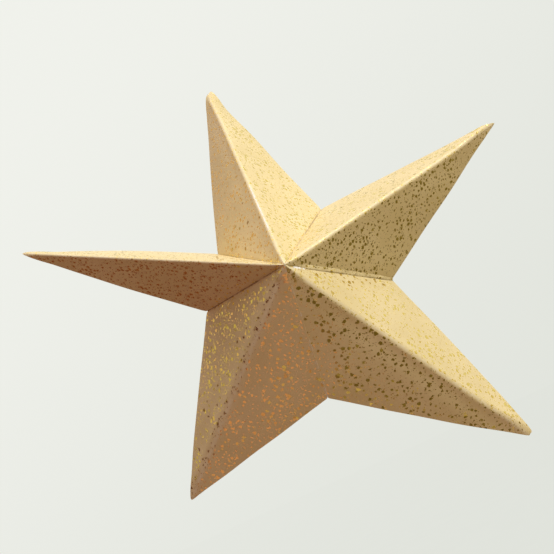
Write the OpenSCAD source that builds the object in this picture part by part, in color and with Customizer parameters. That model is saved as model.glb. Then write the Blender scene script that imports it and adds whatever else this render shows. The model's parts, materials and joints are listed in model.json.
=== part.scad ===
// Folded paper star: five-pointed half-relief ornament, hollow behind.
// Frame: origin at the apex where all ten creases meet, +Z up along arm 1,
// the front faces -Y and the hollow back faces +Y. Units are millimetres.
// Ten equal triangular panels ring the apex. Every crease line runs through
// the apex, so every fold is a turn about a line through the origin.
// Creases are numbered clockwise seen from the front: even ones are the
// ridges of arms 1 to 5 (crease 2k is arm k+1), odd ones are the valleys.
// Panel i lies between crease i and crease i+1. The glued seam is crease 3.

/* [Sheet] */
// Length of a ridge crease, apex to arm tip, mm
ridge_length = 64; // [40:1:120]
// Length of a valley crease, apex to notch, mm
valley_length = 31.4; // [22:0.1:36]
// Thickness of the card, mm
card = 0.3; // [0.2:0.05:0.4]

/* [Ridge folds] */
// Fold of the arm 1 ridge, degrees from flat
ridge_1_fold = 95.5; // [92:0.1:99]
// Fold of the arm 4 ridge, degrees from flat
ridge_4_fold = 51.6; // [48:0.1:55]
// Fold of the arm 5 ridge, degrees from flat
ridge_5_fold = 139.6; // [136:0.1:142]

/* [Valley folds] */
// Fold of the valley between arms 1 and 2, degrees from flat
valley_12_fold = 55.7; // [53:0.1:59]
// Fold of the valley between arms 3 and 4; negative has popped through flat
valley_34_fold = -10.1; // [-14:0.1:-6]
// Fold of the valley between arms 4 and 5, degrees from flat
valley_45_fold = 57.7; // [54:0.1:61]
// Fold of the valley between arms 5 and 1, degrees from flat
valley_51_fold = 79.9; // [77:0.1:83]

/* [Seam] */
// Width of the glue tab behind the seam, mm
tab_width = 5; // [3:0.5:6]
// Thickness of the dried glue film, mm
glue_film = 0.06; // [0.04:0.02:0.12]

/* [Folds as made] */
// Thickness of the scored line along each crease, mm
score = 0.1; // [0.06:0.02:0.12]
// Gap left at each fold so the pieces turn freely, mm
gap = 0.02; // [0.02:0.01:0.04]

/* [Hidden] */
$fn = 32;
panel_count = 10;
sector = 360 / panel_count;    // angle of each panel at the apex
bead_radius = card / 2;        // rounded fold along each crease
bead_start = 1.6;              // beads stop short of the apex
bead_rim_gap = 0.8;            // and short of the rim
score_start = bead_start + 0.2;
score_rim_gap = 1.8;
flat_clearance = 0.05;         // least room from a bead to full thickness
fold_clearance = 0.03;         // room added where the fold angle governs
web_inset = 0.5;               // thin web held in from the full-thickness edge
web_rim_inset = 1.2;           // thin web held in from the rim
tab_start = 3.5;               // apex to the tab, along the seam
tab_rim_gap = 1;               // tab to the notch, along the seam
tab_start_slope = 1.8;         // run along the seam per width, apex end
tab_rim_slope = 0.4;           // the same, notch end
glue_margin = 0.8;             // glue is this much narrower than the tab

card_color = [0.93, 0.85, 0.64];
fold_color = [0.97, 0.92, 0.76];
tab_color = [0.95, 0.93, 0.87];
glue_color = [0.86, 0.84, 0.76];

// ---- Vectors and turns ----
function turn_x(a) = [[1, 0, 0], [0, cos(a), -sin(a)], [0, sin(a), cos(a)]];
function turn_z(a) = [[cos(a), -sin(a), 0], [sin(a), cos(a), 0], [0, 0, 1]];
function column(matrix, c) = [for (r = [0:2]) matrix[r][c]];
function transpose(matrix) = [for (c = [0:2]) column(matrix, c)];
function unit(vector) = vector / norm(vector);
function total(vectors, i = 0) =
    i == len(vectors) ? [0, 0, 0] : vectors[i] + total(vectors, i + 1);

// ---- Panel frames ----
// x runs along the panel's first crease, z is its front face.
// The same panel's frame, with x turned to its second crease
function at_second(frame) = frame * turn_z(-sector);
// Next panel clockwise, folded about the crease between the two
function forward(frame, fold) = at_second(frame) * turn_x(fold);
// Next panel anticlockwise, folded about the crease between the two
function backward(frame, fold) = frame * turn_x(-fold) * turn_z(sector);

// Panel 8 (arm 5, right) is where the chain of frames is counted from.
frame_8 = [[1, 0, 0], [0, 1, 0], [0, 0, 1]];
frame_9 = forward(frame_8, -valley_51_fold);
frame_0 = forward(frame_9, ridge_1_fold);
frame_1 = forward(frame_0, -valley_12_fold);
frame_7 = backward(frame_8, ridge_5_fold);
frame_6 = backward(frame_7, -valley_45_fold);
frame_5 = backward(frame_6, ridge_4_fold);
frame_4 = backward(frame_5, -valley_34_fold);

// The last two panels close the ring: the seam line stands one sector away
// from the ridges of arms 2 and 3, on the hollow side of them.
arm_2_line = column(at_second(frame_1), 0);
arm_3_line = column(frame_4, 0);
arms_cross = cross(arm_2_line, arm_3_line);
arms_dot = arm_2_line * arm_3_line;
seam_between = cos(sector) / (1 + arms_dot);
seam_behind = sqrt(1 - seam_between * seam_between * 2 * (1 + arms_dot)) / norm(arms_cross);
seam_line = seam_between * (arm_2_line + arm_3_line) + seam_behind * arms_cross;

// The seam line as seen from the panels beside those two ridges
seam_from_1 = transpose(at_second(frame_1)) * seam_line;
seam_from_4 = transpose(frame_4) * seam_line;
ridge_2_fold = atan2(-seam_from_1[2], -seam_from_1[1]);
ridge_3_fold = atan2(-seam_from_4[2], seam_from_4[1]);
frame_2 = forward(frame_1, ridge_2_fold);
frame_3 = backward(frame_4, ridge_3_fold);
seam_angle = acos(column(frame_2, 2) * column(frame_3, 2));

frames = [frame_0, frame_1, frame_2, frame_3, frame_4,
          frame_5, frame_6, frame_7, frame_8, frame_9];
// Size of the fold at each crease
folds = [ridge_1_fold, valley_12_fold, ridge_2_fold, seam_angle,
         ridge_3_fold, abs(valley_34_fold), ridge_4_fold, valley_45_fold,
         ridge_5_fold, valley_51_fold];

// Attitude: the five tips face front on average, arm 1 points up.
tips = [for (k = [0:4]) column(frames[2 * k], 0)];
front = unit(total([for (k = [0:4]) cross(tips[(k + 1) % 5], tips[k])]));
up = unit(tips[0] - front * (front * tips[0]));
world = [cross(-front, up), -front, up];

module place(frame)
    multmatrix([for (row = world * frame) [row[0], row[1], row[2], 0]])
        children();

// ---- Creases ----
function reach(c) = c % 2 == 0 ? ridge_length : valley_length;
// Full thickness stops here, beside crease c, so folded panels never meet
function stop_at(c) =
    max(bead_radius + flat_clearance,
        bead_radius * tan(folds[c % panel_count] / 2) + fold_clearance);
// Panel 4 (arm 3, right) stays still and the rest swing from it, so each
// bead belongs to the panel nearer to it: panels 3 and 4 carry the bead of
// their first crease, panels 4 to 9, 0 and 1 that of their second.
function owns_first(i) = i == 3 || i == 4;
function owns_second(i) = !owns_first(i + 1);

// Rounded fold on crease c, with the scored strip to the panel that owns it
module crease(c) {
    clockwise = owns_first(c);
    owner = clockwise ? c : (c + panel_count - 1) % panel_count;
    width = stop_at(c);
    place(clockwise ? frames[owner] : at_second(frames[owner])) {
        translate([bead_start, 0, 0]) rotate([0, 90, 0])
            cylinder(r = bead_radius, h = reach(c) - bead_start - bead_rim_gap);
        translate([score_start, clockwise ? -width : 0, -score / 2])
            cube([reach(c) - score_start - score_rim_gap, width, score]);
    }
}

// ---- Panels ----
// Outline of panel i, held back from its first crease, second crease and rim
module outline(i, first_inset, second_inset, rim_inset) {
    second_line = [cos(sector), -sin(sector)];
    second_inward = [sin(sector), cos(sector)];
    tip_1 = [reach(i), 0];
    tip_2 = reach(i + 1) * second_line;
    outward = unit([tip_1[1] - tip_2[1], tip_2[0] - tip_1[0]]);
    rim = tip_1 * outward - rim_inset;         // distance from apex to rim line
    near = [(second_inset + first_inset * cos(sector)) / sin(sector), -first_inset];
    on_first = [(rim + first_inset * outward[1]) / outward[0], -first_inset];
    along_second = (rim - second_inset * (second_inward * outward)) / (second_line * outward);
    on_second = second_inset * second_inward + second_line * along_second;
    polygon([near, on_first, on_second]);
}

// Card at full thickness, with a thin web out to each bead it does not own
module panel(i) {
    first_stop = stop_at(i);
    second_stop = stop_at(i + 1);
    bead_stop = bead_radius + gap;
    place(frames[i]) {
        linear_extrude(card, center = true) outline(i, first_stop, second_stop, 0);
        if (!owns_first(i) || !owns_second(i))
            linear_extrude(score, center = true)
                outline(i, owns_first(i) ? first_stop + web_inset : bead_stop,
                        owns_second(i) ? second_stop + web_inset : bead_stop,
                        web_rim_inset);
    }
}

// ---- Seam ----
// Tapered strip behind the arm 3 left panel, along the seam; front_z is the
// height of its front face in the panel's frame.
module strip(width, front_z, thick) {
    edge = stop_at(3);
    end = valley_length - tab_rim_gap;
    place(frame_3) translate([0, 0, front_z - thick])
        linear_extrude(thick)
            polygon([[tab_start, -edge], [end, -edge],
                     [end - tab_rim_slope * width, -edge - width],
                     [tab_start + tab_start_slope * width, -edge - width]]);
}

// ---- Nodes ----
module arm_1_left_panel() color(card_color) panel(9);
module arm_1_right_panel() color(card_color) panel(0);
module arm_2_left_panel() color(card_color) panel(1);
module arm_2_right_panel() color(card_color) panel(2);
module arm_3_left_panel() color(card_color) panel(3);
module arm_3_right_panel() color(card_color) panel(4);
module arm_4_left_panel() color(card_color) panel(5);
module arm_4_right_panel() color(card_color) panel(6);
module arm_5_left_panel() color(card_color) panel(7);
module arm_5_right_panel() color(card_color) panel(8);

module ridge_fold_1() color(fold_color) crease(0);
module valley_fold_12() color(fold_color) crease(1);
module ridge_fold_2() color(fold_color) crease(2);
module seam_fold() color(fold_color) crease(3);
module ridge_fold_3() color(fold_color) crease(4);
module valley_fold_34() color(fold_color) crease(5);
module ridge_fold_4() color(fold_color) crease(6);
module valley_fold_45() color(fold_color) crease(7);
module ridge_fold_5() color(fold_color) crease(8);
module valley_fold_51() color(fold_color) crease(9);

module seam_tab() color(tab_color) strip(tab_width, -card / 2 - glue_film, card);
module seam_glue() color(glue_color) strip(tab_width - glue_margin, -card / 2, glue_film);

arm_1_left_panel();
arm_1_right_panel();
arm_2_left_panel();
arm_2_right_panel();
arm_3_left_panel();
arm_3_right_panel();
arm_4_left_panel();
arm_4_right_panel();
arm_5_left_panel();
arm_5_right_panel();
ridge_fold_1();
ridge_fold_2();
ridge_fold_3();
ridge_fold_4();
ridge_fold_5();
valley_fold_12();
valley_fold_34();
valley_fold_45();
valley_fold_51();
seam_fold();
seam_tab();
seam_glue();
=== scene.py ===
# A folded star of foil-flecked card: five arms, each with a ridge fold down its middle and a
# valley fold on either side. All fold lines start at the apex, which is the origin.
# The camera looks roughly along +Y. Shapes are worked out in millimetres and stored in metres.
import json
import math

import bmesh
import bpy
import numpy as np
from mathutils import Matrix, Vector


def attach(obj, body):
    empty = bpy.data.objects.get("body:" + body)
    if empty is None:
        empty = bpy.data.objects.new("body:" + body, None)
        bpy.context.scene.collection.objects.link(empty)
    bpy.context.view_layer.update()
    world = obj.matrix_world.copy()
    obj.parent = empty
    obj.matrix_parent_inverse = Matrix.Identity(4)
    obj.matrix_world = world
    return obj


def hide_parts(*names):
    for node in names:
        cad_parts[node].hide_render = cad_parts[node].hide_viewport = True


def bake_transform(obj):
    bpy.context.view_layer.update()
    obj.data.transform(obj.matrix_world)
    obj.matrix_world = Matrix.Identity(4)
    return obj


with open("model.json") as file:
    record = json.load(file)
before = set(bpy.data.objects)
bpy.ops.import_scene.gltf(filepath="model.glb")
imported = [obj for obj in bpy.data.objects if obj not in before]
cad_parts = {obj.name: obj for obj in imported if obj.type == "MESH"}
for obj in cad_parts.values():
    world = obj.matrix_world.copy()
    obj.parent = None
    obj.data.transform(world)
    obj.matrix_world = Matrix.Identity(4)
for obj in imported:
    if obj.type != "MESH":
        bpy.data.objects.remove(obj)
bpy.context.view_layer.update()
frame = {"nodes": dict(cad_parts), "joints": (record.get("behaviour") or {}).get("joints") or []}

MM = 0.001


def unit(vector):
    return vector / np.linalg.norm(vector)


def smooth(t):
    """Smoothstep from 0 to 1."""
    t = min(max(t, 0), 1)
    return t * t * (3 - 2 * t)


# ---------------------------------------------------------------- fold lines of the frame
hinges = {joint["name"]: np.array(joint["axis"], float) for joint in frame["joints"]}


def fold_direction(name):
    return unit(hinges[name + "_hinge"])


def seam_direction(ridge_a, ridge_b, angle_cos):
    """Unit vector between two ridges that makes the same angle with both."""
    spread = 1 + ridge_a @ ridge_b
    cross = np.cross(ridge_a, ridge_b)
    in_plane = angle_cos / spread
    off_plane = math.sqrt(1 - in_plane * in_plane * 2 * spread) / np.linalg.norm(cross)
    return in_plane * (ridge_a + ridge_b) + off_plane * cross


def fold_length(name):
    """Length in mm of a fold line, a little past the end of its CAD piece."""
    places = np.array([v.co for v in frame["nodes"][name].data.vertices], float)
    reach = float(np.linalg.norm(places, axis=1).max())
    return round((reach + 0.8 * MM) / MM, 1)


# VALLEYS[k] lies between ridge k and ridge k + 1; VALLEYS[1] is the seam and has no hinge
RIDGES = [fold_direction("ridge_fold_%d" % (k + 1)) for k in range(5)]
VALLEYS = [fold_direction("valley_fold_" + pair) for pair in ("12", "34", "45", "51")]
VALLEYS.insert(1, seam_direction(RIDGES[1], RIDGES[2], float(RIDGES[0] @ VALLEYS[0])))
SEAM = VALLEYS[1]

PANEL_ANGLE = math.radians(36)              # between ridge and valley in the flat panel
PANEL_SIN, PANEL_COS = math.sin(PANEL_ANGLE), math.cos(PANEL_ANGLE)
VALLEY_LENGTH = fold_length("valley_fold_12")
TIP = fold_length("ridge_fold_1") + 1.2     # the soft tip reaches as far as the sharp one
NOTCH_X = VALLEY_LENGTH * PANEL_COS         # outer end of the valley: along the ridge
NOTCH_Y = VALLEY_LENGTH * PANEL_SIN         # and across from it
RIM_SLOPE = (TIP - NOTCH_X) / NOTCH_Y
CARD_THICK = 0.3
ARM_PITCH = 90.0                            # shift of each arm's part of the flat UV map


# ---------------------------------------------------------------- shader graph helpers
class Value:
    """An output socket; arithmetic on it adds Math nodes."""

    def __init__(self, graph, socket):
        self.graph = graph
        self.socket = socket

    def __add__(self, other):
        return self.graph.math("ADD", self, other)

    def __sub__(self, other):
        return self.graph.math("SUBTRACT", self, other)

    def __rsub__(self, other):
        return self.graph.math("SUBTRACT", other, self)

    def __mul__(self, other):
        return self.graph.math("MULTIPLY", self, other)

    def __pow__(self, other):
        return self.graph.math("POWER", self, other)

    def __mod__(self, other):
        return self.graph.math("MODULO", self, other)

    def __abs__(self):
        return self.graph.math("ABSOLUTE", self)

    def max(self, other):
        return self.graph.math("MAXIMUM", self, other)

    def times_plus(self, factor, offset):
        return self.graph.math("MULTIPLY_ADD", self, factor, offset)

    def fade(self, start, end, low=0.0, high=1.0):
        """Smooth change from low at start to high at end; start may be the larger."""
        inputs = {0: self, 1: start, 2: end, 3: low, 4: high}
        return self.graph.value("MapRange", inputs, interpolation_type="SMOOTHSTEP")

    def window(self, start, end, soft):
        """One between start and end, with soft limits."""
        rise = self.fade(start - soft, start + soft)
        return rise * self.fade(end + soft, end - soft)

    def vector(self, operation, other=(0, 0, 0), output=0):
        slot = "Scale" if operation == "SCALE" else 1
        return self.graph.value("VectorMath", {0: self, slot: other}, output,
                                operation=operation)

    def shifted(self, offset):
        return self.vector("ADD", offset)

    def centred(self):
        """Moves a random colour so that it varies around zero."""
        return self.vector("SUBTRACT", (0.5, 0.5, 0.5))

    def separate(self):
        node = self.graph.node("SeparateXYZ", {0: self})
        return [Value(self.graph, socket) for socket in node.outputs]


class Graph:
    """A cleared node tree holding an output and one shader."""

    def __init__(self, owner, output, shader):
        owner.use_nodes = True
        self.tree = owner.node_tree
        self.tree.nodes.clear()
        out = self.node(output)
        self.shader = self.node(shader)
        self.tree.links.new(self.shader.outputs[0], out.inputs[0])

    def feed(self, node, inputs):
        """Link or set inputs, given by name or index."""
        for slot, source in inputs.items():
            if isinstance(source, Value):
                self.tree.links.new(source.socket, node.inputs[slot])
            else:
                node.inputs[slot].default_value = source

    def node(self, kind, inputs=None, **settings):
        node = self.tree.nodes.new("ShaderNode" + kind)
        for name, setting in settings.items():
            setattr(node, name, setting)
        self.feed(node, inputs or {})
        return node

    def value(self, kind, inputs=None, output=0, **settings):
        return Value(self, self.node(kind, inputs, **settings).outputs[output])

    def math(self, operation, first, second=0.0, third=0.0):
        return self.value("Math", {0: first, 1: second, 2: third}, operation=operation)

    def mix(self, factor, first, second):
        return self.value("Mix", {0: factor, 6: first, 7: second}, 2, data_type="RGBA")

    def noise(self, at, scale, detail, roughness=0.5, dimensions="3D", output=0):
        inputs = {"Vector": at, "Scale": scale, "Detail": detail, "Roughness": roughness}
        return self.value("TexNoise", inputs, output, noise_dimensions=dimensions)

    def cells(self, at, scale):
        """Distance and random colour of flat Voronoi cells."""
        node = self.node("TexVoronoi", {"Vector": at, "Scale": scale},
                         voronoi_dimensions="2D", feature="F1")
        return Value(self, node.outputs["Distance"]), Value(self, node.outputs["Color"])

    def bump(self, height, strength, distance, **normal):
        inputs = {"Strength": strength, "Distance": distance, "Height": height, **normal}
        return self.value("Bump", inputs)


def new_material(name, shader="BsdfPrincipled"):
    material = bpy.data.materials.new(name)
    return material, Graph(material, "OutputMaterial", shader)


# ---------------------------------------------------------------- foil-flecked card
class Sheet:
    """Coordinates on the flat card, in mm, and the noises that its marks share."""

    def __init__(self, graph):
        self.graph = graph
        self.flat = graph.value("UVMap", uv_map="flat")
        # along: from the apex plus ARM_PITCH per arm; across: negative on the left panel
        self.along, self.across = self.flat.separate()[:2]
        edge = graph.value("UVMap", uv_map="edge")
        self.from_ridge, self.from_valley = edge.separate()[:2]
        self.from_apex = self.along % ARM_PITCH
        self.on_ridge = self.from_ridge.fade(start=0.70, end=0.15)
        self.streak = self.mottle(scale=0.55, detail=3.0, roughness=0.65)
        self.fibre = self.mottle(scale=3.2, detail=3.0, roughness=0.7)

    def mottle(self, scale, detail=2.0, roughness=0.5, at=None, output=0):
        return self.graph.noise(at or self.flat, scale, detail, roughness, "2D", output)


def foil_flecks(sheet):
    """Mask of blobs, dots and short worms, and the random colour of each blob's cell."""
    graph = sheet.graph
    # the pattern is drawn larger on arms 3 and 4
    coarse = sheet.along.window(2 * ARM_PITCH - 0.5, 4 * ARM_PITCH - 0.5, soft=0.1)
    sized = sheet.flat.vector("SCALE", coarse.times_plus(factor=-0.10, offset=1.0))
    wobble = sheet.mottle(scale=1.5, roughness=0.6, at=sized, output="Color").centred()
    wandering = sized.vector("ADD", wobble.vector("SCALE", 0.62))
    # flecks crowd in some places and string out along wandering lines
    crowd = sheet.mottle(scale=0.14).fade(start=0.36, end=0.62, low=-0.055, high=0.030)
    trail = sheet.mottle(scale=0.26, detail=1.0, at=sized.shifted((3.7, 9.1, 0)))
    trail = abs(trail - 0.5)
    crowd = crowd + trail.fade(start=0.055, end=0.012, high=0.085)

    distance, tint = graph.cells(wandering, scale=1.02)
    chance = tint.separate()[0]
    size = (chance * chance).times_plus(factor=0.30, offset=0.085)
    blobs = (size + crowd - distance).fade(start=-0.01, end=0.035)

    dot_distance, dot_tint = graph.cells(wandering.shifted((31.7, 12.3, 0)), scale=2.0)
    size = dot_tint.separate()[1].times_plus(factor=0.3, offset=-0.1)
    dots = (size + crowd - dot_distance).fade(start=-0.01, end=0.05)

    line = sheet.mottle(scale=0.8, detail=1.0, at=sheet.flat.shifted((7.1, 3.3, 0)))
    line = abs(line - 0.5)
    present = sheet.mottle(scale=0.75, detail=1.0, at=sheet.flat.shifted((17.0, 41.0, 0)))
    width = present.fade(start=0.60, end=0.68) * 0.024
    worms = (width - line).fade(start=-0.001, end=0.006)
    return blobs.max(dots.max(worms)), tint


def bared_fibres(sheet):
    """Mask of the places where white fibres show."""
    along, across, fibre, streak = sheet.along, sheet.across, sheet.fibre, sheet.streak
    from_valley = sheet.from_valley
    scuff = from_valley.fade(start=0.30, end=0.05)
    scuff = scuff * (streak + fibre * 0.35).fade(start=0.76, end=0.84)

    # cracked score on the ridge of arm 1
    crack = along.window(start=11.5, end=27.0, soft=1.2)
    crack = crack * sheet.from_ridge.fade(start=0.22, end=0.08)
    crack = crack * (fibre + streak * 0.6).fade(start=0.66, end=0.76)

    # spots down the valley between arms 3 and 4: distance from the apex, half length
    spots = None
    for place, reach in ((4.6, 0.7), (15.3, 0.9), (18.8, 0.8), (24.3, 0.9)):
        for arm, sign in ((2, 1), (3, -1)):
            centre = ARM_PITCH * arm + place
            spot = along.window(centre - reach, centre + reach, soft=0.3)
            spot = spot * (across * sign).fade(start=0.2, end=0.6)
            spots = spots.max(spot) if spots else spot
    spots = spots * from_valley.fade(start=0.26, end=0.10)
    spots = spots * fibre.fade(start=0.40, end=0.55)

    # patch on the left panel of arm 3, where the seam starts
    patch = along.window(start=181.9, end=184.6, soft=0.5)
    patch = patch * (across * -1.0).fade(start=0.3, end=0.9)
    patch = patch * from_valley.fade(start=0.85, end=0.45)
    patch = patch * fibre.fade(start=0.30, end=0.45)
    return scuff.max(crack).max(spots.max(patch))


def valley_shade(sheet):
    """Mask of the brown line of painted shade in the valleys, left out between arms 3 and 4."""
    line = sheet.from_valley.fade(start=0.24, end=0.08)
    line = line * sheet.streak.fade(start=0.2, end=0.6, low=0.35, high=0.75)

    def panel(start, end, sign):
        side = sheet.across.fade(start=-0.1 * sign, end=0.1 * sign)
        return sheet.along.fade(start, start + 1.0) * (sheet.along.fade(end + 1.0, end) * side)

    return line * (1.0 - panel(178.0, 268.0, 1).max(panel(268.0, 358.0, -1)))


def seam_shade(sheet):
    """Mask of the dark band of painted shadow beside the seam, on the left panel of arm 3."""
    band = sheet.along.window(start=180.5, end=268.0, soft=0.4)
    band = band * sheet.across.fade(start=-0.1, end=-0.3)
    band = band * sheet.from_valley.fade(start=0.62, end=0.30)
    shadow_patchiness = sheet.streak + sheet.fibre * 0.3
    return band * shadow_patchiness.fade(start=0.42, end=0.62, low=0.35, high=0.9)


def card_material():
    material, graph = new_material("foil_flecked_card")
    sheet = Sheet(graph)
    on_ridge = sheet.on_ridge
    flecks, tint = foil_flecks(sheet)
    bare = bared_fibres(sheet)

    # cream with a faint cloudiness and pressed grain
    cloud = sheet.mottle(scale=0.07, detail=3.0, roughness=0.55).fade(start=0.3, end=0.7)
    grain = sheet.mottle(scale=9.0, detail=3.0, roughness=0.6)
    # ridges painted lighter: partly real wear, partly a painted highlight along the fold
    ridge_wear_and_highlight = on_ridge * sheet.streak.fade(start=0.30, end=0.65, low=0.30, high=0.62)
    colour = graph.mix(cloud, (0.80, 0.66, 0.335, 1), (0.86, 0.72, 0.395, 1))
    layers = (
        (grain.fade(start=0.35, end=0.7, high=0.10), (0.60, 0.47, 0.22, 1)),
        (ridge_wear_and_highlight, (0.92, 0.82, 0.55, 1)),                                  # burnished ridges, lightened further as a painted highlight
        (sheet.from_apex.fade(start=2.6, end=0.8) * 0.5, (0.92, 0.80, 0.50, 1)),  # rubbed crown
        # painted shade along the valley creases
        (valley_shade(sheet), (0.36, 0.24, 0.10, 1)),
        # painted shadow beside the seam, where the lip overhangs
        (seam_shade(sheet), (0.16, 0.095, 0.03, 1)),
        (bare, (0.95, 0.93, 0.88, 1)),
    )
    for mask, tone in layers:
        colour = graph.mix(mask, colour, tone)

    # foil is rubbed off bare fibres and thinned on ridges, with glints there and at the apex
    flecks = flecks * (1.0 - bare.max(on_ridge * 0.55))
    flecks = flecks.fade(start=0.30, end=0.75)
    glint = on_ridge * sheet.mottle(scale=1.3, roughness=0.6).fade(start=0.63, end=0.67)
    flecks = flecks.max(glint * 0.9)
    gilt = sheet.mottle(scale=1.1, roughness=0.6).fade(start=0.55, end=0.60)
    gilt = sheet.from_apex.fade(start=5.2, end=3.2) * gilt
    flecks = flecks.max(gilt * 0.85)
    gold = graph.mix(sheet.mottle(scale=2.0, detail=1.0),
                     (0.95, 0.73, 0.18, 1), (0.96, 0.80, 0.27, 1))

    # relief of flecks, grain and fibre; each blob of foil is tilted its own way
    fibre_relief = sheet.mottle(scale=0.9, detail=3.0, roughness=0.6)
    height = flecks * 0.10 + grain * 0.06 + fibre_relief * 0.16
    tilt = tint.centred().vector("SCALE", flecks * 0.26)
    normal = graph.value("NewGeometry", output="Normal").vector("ADD", tilt)
    graph.feed(graph.shader, {
        "Base Color": graph.mix(flecks, colour, gold),
        "Metallic": flecks.times_plus(factor=0.96, offset=0.02),
        "Roughness": flecks.times_plus(factor=-0.30, offset=0.50),
        "Specular IOR Level": 0.45,
        "Normal": graph.bump(height, strength=0.35, distance=0.12 * MM,
                             Normal=normal.vector("NORMALIZE")),
    })
    return material


# ---------------------------------------------------------------- uncoated paper
def paper_material(name, dark, light, rough=0.85, scale=900.0, relief=0.04):
    """Fibre noise in object space; relief is the bump depth in mm."""
    material, graph = new_material(name)
    place = graph.value("TexCoord", output="Object")
    fine = graph.noise(place, scale, detail=4.0, roughness=0.6)
    broad = graph.noise(place, scale * 0.12, detail=3.0, roughness=0.55)
    blend = fine.times_plus(factor=0.55, offset=broad * 0.45)
    graph.feed(graph.shader, {
        "Base Color": graph.mix(blend.fade(start=0.35, end=0.65), dark, light),
        "Roughness": fine.times_plus(factor=0.12, offset=rough - 0.06),
        "Specular IOR Level": 0.25,
        "Normal": graph.bump(fine, strength=0.4, distance=relief * MM),
    })
    return material


FOILED = card_material()
REVERSE = paper_material("uncoated_reverse", (0.80, 0.77, 0.69, 1), (0.87, 0.85, 0.78, 1))
CORE = paper_material("cut_edge_core", (0.86, 0.82, 0.70, 1), (0.94, 0.91, 0.82, 1),
                      rough=0.8, scale=2500.0, relief=0.02)
# dark brown fold beads in the valleys and the seam: painted shade in the creases
SHADED_FOLD = paper_material("fold_painted_shade", (0.36, 0.24, 0.10, 1), (0.76, 0.61, 0.34, 1),
                           rough=0.6, scale=1100.0, relief=0.03)
EASED_FOLD = paper_material("eased_fold", (0.78, 0.64, 0.33, 1), (0.85, 0.71, 0.39, 1),
                            rough=0.5, scale=1500.0, relief=0.02)
TAB = paper_material("glue_tab_card", (0.88, 0.86, 0.79, 1), (0.95, 0.935, 0.88, 1),
                     scale=800.0)
GLUE = paper_material("dried_glue", (0.72, 0.69, 0.58, 1), (0.83, 0.80, 0.70, 1),
                      rough=0.35, scale=600.0, relief=0.05)

# ---------------------------------------------------------------- card meshes
FRONT, BACK, EDGE = 0, 1, 2                 # material slots of every card mesh


def link_object(name, data):
    thing = bpy.data.objects.new(name, data)
    bpy.context.scene.collection.objects.link(thing)
    return thing


def card_object(name, verts, faces, slots, smooth_faces, uv_maps):
    """Mesh from points in mm; uv_maps holds one pair per vertex for each map."""
    mesh = bpy.data.meshes.new(name)
    mesh.from_pydata([tuple(vert * MM) for vert in verts], [], faces)
    for material in (FOILED, REVERSE, CORE):
        mesh.materials.append(material)
    mesh.polygons.foreach_set("material_index", slots)
    mesh.polygons.foreach_set("use_smooth", smooth_faces)
    corners = np.zeros(len(mesh.loops), int)
    mesh.loops.foreach_get("vertex_index", corners)
    for map_name, pairs in uv_maps.items():
        layer = mesh.uv_layers.new(name=map_name)
        layer.data.foreach_set("uv", np.array(pairs)[corners].astype(np.float32).ravel())
    mesh.update()
    return link_object(name, mesh)


# ---------------------------------------------------------------- the five arms
# All in mm but open; pairs are (left panel, right panel).
# soft: half width of the rounded ridge     tip: how far the softening runs back from the tip
# bow, ripple: slow and random panel lift   blunt: radius of the cut tip
# cap, tipcap: most the rounding takes off the sharp line, along the ridge and at the tip
# ease: length over which the fold opens out at the tip      open: how far it opens, 0 to 1
# drift: how far the crease misses the tip  rim: how far each cut edge swells outward
ARMS = [
    dict(soft=0.65, tip=3.5, bow=(0.25, -0.35), ripple=(0.22, 0.22), blunt=0.90, cap=0.34,
         tipcap=0.50, ease=6.0, open=0.45, drift=-0.25, rim=(0.2, 2.0)),
    dict(soft=0.85, tip=4.5, bow=(0.30, 0.10), ripple=(0.22, 0.22), blunt=0.22, cap=0.42,
         tipcap=0.50, ease=7.0, open=0.15, drift=0.85, rim=(-0.5, -0.6)),
    dict(soft=0.85, tip=5.0, bow=(0.30, 0.45), ripple=(0.05, 0.22), blunt=0.25, cap=0.38,
         tipcap=0.50, ease=7.0, open=0.15, drift=0.75, rim=(2.2, 0.0)),
    dict(soft=1.95, tip=7.0, bow=(0.25, 0.25), ripple=(0.22, 0.22), blunt=0.45, cap=0.45,
         tipcap=0.55, ease=7.0, open=0.30, drift=0.0, rim=(-0.5, 0.0)),
    dict(soft=0.80, tip=6.0, bow=(0.35, 0.55), ripple=(0.22, 0.22), blunt=0.30, cap=0.44,
         tipcap=0.55, ease=8.0, open=0.35, drift=0.0, rim=(0.0, 0.0)),
]
GROOVES = [0.12, 0.05, 0.02, 0.15, 0.12]    # depth pressed beside each of VALLEYS

# columns: close steps away from the valley line, then even steps to the rim
VALLEY_STEPS = [0.0, 0.10, 0.22, 0.38, 0.60, 0.95, 1.5]
EVEN_STEPS = 66
COLUMNS = len(VALLEY_STEPS) - 1 + EVEN_STEPS
# rows: distances from the ridge, mirrored for the left panel
ROW_STEPS = [0, 0.12, 0.25, 0.4, 0.58, 0.8, 1.05, 1.35, 1.7, 2.15, 2.7, 3.4, 4.2, 5.1, 6.1,
             7.2, 8.4, 9.6, 10.8, 12.0, 13.2, 14.3, 15.3, 16.2, 17.0, 17.6, 18.0]
ROW_STEPS = [y for y in ROW_STEPS if y < NOTCH_Y - 0.25] + [NOTCH_Y - 0.12]
ROWS = [-y for y in reversed(ROW_STEPS[1:])] + ROW_STEPS


def ripple(x, y, seed):
    """Mean of five random plane waves."""
    rng = np.random.default_rng(seed)
    total = 0.0
    for _ in range(5):
        height = rng.uniform(0.4, 1.0)
        along = rng.uniform(-0.22, 0.22)
        across = rng.uniform(-0.35, 0.35)
        phase = rng.uniform(0, 6.3)
        total += height * math.sin(along * x + across * y + phase)
    return total / 5


def from_valley(x, y):
    return abs(x * PANEL_SIN - y * PANEL_COS)


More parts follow.
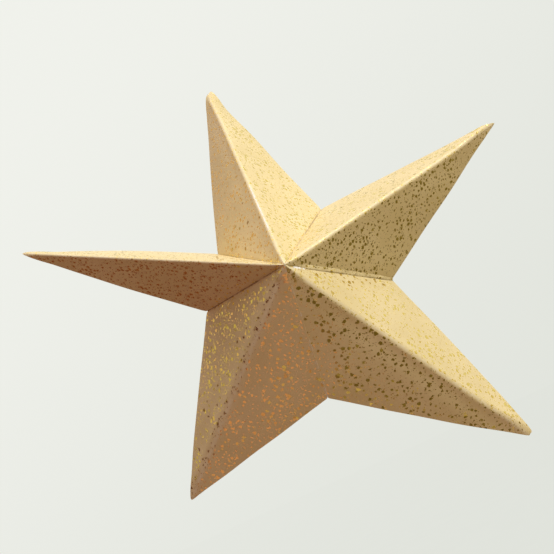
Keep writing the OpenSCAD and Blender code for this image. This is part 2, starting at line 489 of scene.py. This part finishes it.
class Arm:
    """Shape of one arm. x runs along the ridge from the apex, s across it (left negative)."""

    def __init__(self, index):
        self.index = index
        self.spec = ARMS[index]
        self.ridge = ridge = RIDGES[index]
        left, right = VALLEYS[index - 1], VALLEYS[index]
        self.normals = unit(np.cross(ridge, left)), unit(np.cross(right, ridge))
        self.outward = [unit(valley - ridge * (valley @ ridge)) for valley in (left, right)]
        bend = float(np.clip(self.normals[0] @ self.normals[1], -1, 1))
        self.half = math.acos(bend) / 2     # half the fold angle
        self.middle = unit(self.normals[0] + self.normals[1])
        self.sideways = unit(self.outward[1] - self.outward[0])

    def columns(self, s):
        """Pairs of x and share of the way from valley to rim, for one row."""
        spec, y = self.spec, abs(s)
        start = y / math.tan(PANEL_ANGLE)
        # the cut tip is blunted and the rim wanders a little, as scissors leave it
        end = TIP - y * RIM_SLOPE - RIM_SLOPE * (math.sqrt(y * y + spec["blunt"] ** 2) - y)
        end += 0.10 * math.sin(0.9 * y + self.index) * (1 - math.exp(-y))
        end += spec["blunt"] * 1.1 * (1 - y / NOTCH_Y)
        swell = smooth(y / 1.4) * smooth((NOTCH_Y - y) / (0.55 * NOTCH_Y))
        end += spec["rim"][int(s >= 0)] * swell
        span = end - start
        squeeze = min(1.0, span / 8.0)      # short rows draw the close steps together
        steps = [step / PANEL_SIN * squeeze for step in VALLEY_STEPS]
        last = steps[-1]
        steps += [last + (span - last) * i / EVEN_STEPS for i in range(1, EVEN_STEPS + 1)]
        return [(start + step, step / span) for step in steps]

    def rounding(self, x, near_tip):
        """Half width of the rounded ridge: dies out at the apex, widens into the tip."""
        spec, half = self.spec, self.half
        width = spec["soft"] * smooth(x / 5.0) + 0.04 + near_tip * 1.5
        cap = spec["cap"] + (spec["tipcap"] - spec["cap"]) * near_tip
        width = min(width, cap / (1 / math.cos(half) - 1) * math.tan(half))
        width = max(width, CARD_THICK * 0.55 * math.tan(half))
        return width * min(1.0, max(0.05, x / 3))

    def lift(self, x, s, share, beyond_ridge, near_tip):
        """Height of the surface over the flat panel."""
        spec, y, side = self.spec, abs(s), int(s >= 0)
        # bow and ripple vanish at the ridge and the valley
        hold = smooth(beyond_ridge / 4.0) * smooth(share / 0.35)
        lift = spec["bow"][side] * hold * math.sin(math.pi * min(1.0, y / NOTCH_Y))
        lift += spec["ripple"][side] * hold * ripple(x, y, 11 * self.index + side)
        lift -= 0.10 * near_tip * near_tip  # the very tip relaxes backwards
        if y > 0.6:                         # pressed groove beside the valley line
            depth = GROOVES[self.index - 1 + side]
            groove = math.exp(-((from_valley(x, y) - 0.05) / 0.26) ** 2)
            lift -= depth * groove * smooth(x / 4.0)
        return lift

    def point(self, x, s, share):
        """Place and normal of the middle of the card."""
        spec, half = self.spec, self.half
        near_tip = smooth((x - (TIP - spec["tip"] - 2.0)) / (spec["tip"] + 2.0))
        width = self.rounding(x, near_tip)
        # the crease wanders off the tip: fold about a line beside the ridge there
        miss = spec["drift"] * smooth((x - (TIP - 16.0)) / 15.0)
        folded = s + miss
        shift = (self.outward[0] if miss < 0 else -self.outward[1]) * abs(miss)
        if abs(folded) < width:
            radius = width / math.tan(half)
            turn = folded / width * half
            normal = math.cos(turn) * self.middle + math.sin(turn) * self.sideways
            place = self.ridge * x + shift - self.middle * (radius / math.cos(half))
            place = place + radius * normal
        else:
            side = int(folded >= 0)
            normal = self.normals[side]
            place = self.ridge * x + shift + self.outward[side] * abs(folded)
        place = place + normal * self.lift(x, s, share, abs(folded) - width, near_tip)
        # the fold opens out where it nears the tip
        opening = spec["open"] * smooth((x - (TIP - spec["ease"])) / spec["ease"])
        if opening > 0:
            reach = max(0.05, (TIP - x) / RIM_SLOPE)
            level = 0.5 * min(reach, abs(s) + 0.5 * reach) * math.sin(half)
            spread = self.ridge * x + self.sideways * s - self.middle * level
            place = place * (1 - opening) + spread * opening
            normal = unit(normal * (1 - opening) + self.middle * opening)
        return place, normal


def arm_faces():
    """Faces and slots of two grids of points, front then back, closed all round."""
    last_row = len(ROWS) - 1

    def corner(layer, row, column):
        return (layer * len(ROWS) + row) * (COLUMNS + 1) + column

    faces, slots = [], []
    for r in range(last_row):
        for i in range(COLUMNS):
            around = ((r, i), (r, i + 1), (r + 1, i + 1), (r + 1, i))
            faces.append(tuple(corner(0, *place) for place in around))
            back = [corner(1, *place) for place in around]
            faces.append((back[0], back[3], back[2], back[1]))
            slots += [FRONT, BACK]
    for r in range(last_row):               # rim and valley sides
        for i, order in ((COLUMNS, 1), (0, -1)):
            quad = (corner(0, r, i), corner(1, r, i), corner(1, r + 1, i), corner(0, r + 1, i))
            faces.append(quad[::order])
            slots.append(EDGE)
    for r, order in ((0, 1), (last_row, -1)):   # notch ends
        for i in range(COLUMNS):
            quad = (corner(0, r, i), corner(0, r, i + 1), corner(1, r, i + 1), corner(1, r, i))
            faces.append(quad[::order])
            slots.append(EDGE)
    return faces, slots


def build_arm(index):
    arm = Arm(index)
    points, flat, edge = [], [], []
    for s in ROWS:
        for x, share in arm.columns(s):
            points.append(arm.point(x, s, share))
            flat.append((x + ARM_PITCH * index, s))
            edge.append((abs(s), from_valley(x, abs(s))))
    verts = [place + normal * CARD_THICK * layer
             for layer in (0.5, -0.5) for place, normal in points]
    faces, slots = arm_faces()
    sheet = card_object("arm_%d_sheet" % (index + 1), verts, faces, slots,
                        [slot != EDGE for slot in slots], {"flat": flat * 2, "edge": edge * 2})
    # the first face is on the front of the left panel and must look along its normal
    if Vector(arm.normals[0]).dot(sheet.data.polygons[0].normal) < 0:
        sheet.data.flip_normals()
    reach = max(0.25, arm.spec["soft"] * math.cos(arm.half)) * MM
    left, right = "arm_%d_left" % (index + 1), "arm_%d_right" % (index + 1)
    tuple(-arm.sideways * reach)
    tuple(arm.sideways * reach)
    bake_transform(sheet)
    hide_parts(left + "_panel", right + "_panel", "ridge_fold_%d" % (index + 1))
    sheet.data.set_sharp_from_angle(angle=math.radians(40))


for index in range(5):
    build_arm(index)

# ---------------------------------------------------------------- raised seam, arms 2 and 3
# Section: distance from the seam line into the right panel of arm 2, height over the panel
LIP_SECTION = [(0.80, 0.13), (0.58, 0.18), (0.38, 0.27), (0.18, 0.36), (0.02, 0.40),
               (-0.10, 0.40), (-0.17, 0.34), (-0.12, 0.24), (0.16, 0.10)]
LIP_SLOTS = [FRONT] * 5 + [EDGE] * 4        # strips between section points, closing one last
LIP_STATIONS = 90
LIP_START = 3.2                             # from the apex
LIP_LENGTH = VALLEY_LENGTH - 3.0
LIP_BASE = 0.13                             # height at which the lip starts to rise


def build_seam():
    panel_normal = unit(np.cross(SEAM, RIDGES[1]))
    inward = unit(RIDGES[1] - SEAM * (RIDGES[1] @ SEAM))
    verts, flat, edge = [], [], []
    for i in range(LIP_STATIONS + 1):
        share = i / LIP_STATIONS
        x = LIP_START + share * LIP_LENGTH
        # rises over the first tenth and sinks by a quarter over the last
        rise = smooth(share / 0.10) * (1 - 0.25 * smooth((share - 0.9) / 0.1))
        wander = 0.10 * math.sin(x * 0.50 + 0.6) + 0.07 * math.sin(x * 1.6 + 1)
        waver = 0.04 * math.sin(x * 0.9 + 2) + 0.05 * math.sin(x * 2.1)
        for j, (away, height) in enumerate(LIP_SECTION):
            across = away * (0.55 + 0.45 * rise) + wander * (1.2 - away) / 1.2 * 0.5
            over = LIP_BASE + (height - LIP_BASE) * rise + (waver if j > 1 else 0.0)
            verts.append(SEAM * x + inward * across + panel_normal * over)
            flat.append((x + 500, away * 1.5))  # clear of every arm's part of the map
            edge.append((0.35 + 0.9 * abs(away), 2.0))
    count = len(LIP_SECTION)
    faces = []
    for start in range(0, LIP_STATIONS * count, count):
        for j in range(count):
            k = (j + 1) % count
            faces.append((start + j, start + k, start + count + k, start + count + j))
    faces.append(tuple(range(count - 1, -1, -1)))
    faces.append(tuple(LIP_STATIONS * count + j for j in range(count)))
    slots = LIP_SLOTS * LIP_STATIONS + [EDGE, EDGE]
    lip = card_object("seam_lip", verts, faces, slots, [True] * len(faces),
                      {"flat": flat, "edge": edge})
    shell = bmesh.new()
    shell.from_mesh(lip.data)
    bmesh.ops.recalc_face_normals(shell, faces=shell.faces)
    shell.to_mesh(lip.data)
    shell.free()
    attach(lip, "arm_2_right")


build_seam()

# ---------------------------------------------------------------- CAD pieces that stay in view
CAD_LOOKS = {
    "valley_fold_34": (EASED_FOLD, "fold"),
    "seam_fold": (SHADED_FOLD, "fold"),
    "seam_tab": (TAB, "tab"),
    "seam_glue": (GLUE, "glue"),
}
for name, piece in frame["nodes"].items():
    other = (SHADED_FOLD, "fold") if name.startswith("valley_fold") else None
    look = CAD_LOOKS.get(name, other)
    if look:
        piece.data.materials.clear()
        piece.data.materials.append(look[0])

# ---------------------------------------------------------------- camera
VIEW_RIGHT = Vector((0.91021, 0.09669, -0.40271)).normalized()
VIEW_AHEAD = Vector((-0.02049, 0.98168, 0.18941)).normalized()
VIEW_UP = VIEW_RIGHT.cross(VIEW_AHEAD).normalized()


def build_camera():
    data = bpy.data.cameras.new("camera")
    camera = link_object("camera", data)
    pose = Matrix((VIEW_RIGHT, VIEW_UP, -VIEW_AHEAD)).transposed().to_4x4()
    pose.translation = (0.001901, -0.200759, -0.040294)
    camera.matrix_world = pose
    data.sensor_width = 36
    data.lens = 68.555957
    data.clip_start = 0.01
    data.clip_end = 20
    bpy.context.scene.camera = camera


build_camera()


# ---------------------------------------------------------------- stage and light
def view_direction(x, y, z):
    """Unit vector from steps to the image right, up and toward the camera."""
    return unit(np.array(VIEW_RIGHT) * x + np.array(VIEW_UP) * y - np.array(VIEW_AHEAD) * z)


def pale(graph):
    """Plain pale tone, a little deeper towards the lower right of the picture."""
    across, up = graph.value("TexCoord", output="Window").separate()[:2]
    fade = across * 0.55 + (1.0 - up) * 0.45
    return graph.mix(fade.fade(start=0.0, end=1.0),
                     (0.875, 0.885, 0.835, 1), (0.755, 0.775, 0.720, 1))


def build_floor(sides=96, radius=12.0, level=-0.115):
    """A wide plain disk well below the star, in metres."""
    angles = [2 * math.pi * i / sides for i in range(sides)]
    verts = [(0, 0, level)]
    verts += [(radius * math.cos(angle), radius * math.sin(angle), level) for angle in angles]
    mesh = bpy.data.meshes.new("floor")
    mesh.from_pydata(verts, [], [(0, 1 + i, 1 + (i + 1) % sides) for i in range(sides)])
    material, graph = new_material("floor_paper", "Emission")
    place = graph.value("NewGeometry", output="Position")
    x, y, _ = place.separate()
    # soft pool of shade under the star, as a wide lamp leaves it
    away = graph.math("SQRT", (x + 0.03) ** 2.0 + (y + -0.03) ** 2.0)
    pool = away.fade(start=0.16, end=0.0, high=0.20)
    grain = graph.noise(place, scale=40.0, detail=3.0)
    shade = grain.times_plus(factor=0.04, offset=pool)
    graph.feed(graph.shader, {0: graph.mix(shade, pale(graph), (0.42, 0.42, 0.38, 1))})
    mesh.materials.append(material)
    floor = link_object("floor", mesh)
    # the world lights the star; the floor is only its plain setting
    floor.visible_diffuse = False
    floor.visible_glossy = False
    floor.visible_shadow = False


def build_key():
    """Wide round lamp above the star, on the camera's side."""
    data = bpy.data.lights.new("key", "AREA")
    data.shape = "DISK"
    data.size = 0.60
    data.energy = 7.3
    data.color = (0.95, 1.0, 1.0)
    key = link_object("key", data)
    target = Vector((0, 0.02, 0))
    key.location = target + Vector(view_direction(0.16, 0.88, 0.42)) * 1.1
    key.rotation_mode = "QUATERNION"
    key.rotation_quaternion = (target - key.location).to_track_quat("-Z", "Y")


# Soft patches of the surround, each laid over those before it: direction to the image right,
# up and toward the camera; cosines from it where the patch starts and is full; colour
SURROUND = (0.345, 0.185, 0.140, 1)
PATCHES = [
    ((1.0, -0.1, 0.0), -0.55, 0.65, (0.57, 0.460, 0.300, 1)),
    ((0.0, 0.0, -1.0), 0.05, 0.80, (0.64, 0.57, 0.46, 1)),
    ((0.15, 0.70, -0.65), 0.35, 0.85, (0.80, 0.76, 0.66, 1)),
    ((-0.45, 0.85, 0.20), 0.50, 0.92, (1.18, 1.06, 1.10, 1)),
    ((0.95, -0.30, 0.05), 0.80, 0.94, (0.14, 0.108, 0.040, 1)),
    ((0.25, -0.55, 0.80), 0.77, 0.92, (0.115, 0.080, 0.030, 1)),
    ((-0.50, -0.72, 0.48), 0.80, 0.96, (0.56, 0.285, 0.28, 1)),
    ((-0.95, -0.10, 0.30), 0.62, 0.92, (0.105, 0.045, 0.065, 1)),
    ((-0.91, -0.06, -0.42), 0.94, 0.985, (0.56, 0.50, 0.28, 1)),
    ((-0.78, 0.26, -0.58), 0.90, 0.98, (0.62, 0.42, 0.36, 1)),
    ((-0.39, -0.77, -0.50), 0.70, 0.94, (0.16, 0.050, 0.030, 1)),
]


def build_world():
    world = bpy.data.worlds.new("studio")
    bpy.context.scene.world = world
    graph = Graph(world, "OutputWorld", "Background")
    ray = graph.value("TexCoord", output="Generated")
    colour = SURROUND
    for direction, start, full, tone in PATCHES:
        centre = tuple(float(part) for part in view_direction(*direction))
        facing = ray.vector("DOT_PRODUCT", centre, output="Value")
        colour = graph.mix(facing.fade(start, full), colour, tone)
    # the camera sees the plain tone instead
    seen = graph.value("LightPath", output="Is Camera Ray")
    graph.feed(graph.shader, {"Color": graph.mix(seen, colour, pale(graph)), "Strength": 1.0})


build_floor()
build_key()
build_world()
bpy.context.scene.view_settings.view_transform = "Standard"
bpy.context.scene.view_settings.look = "None"
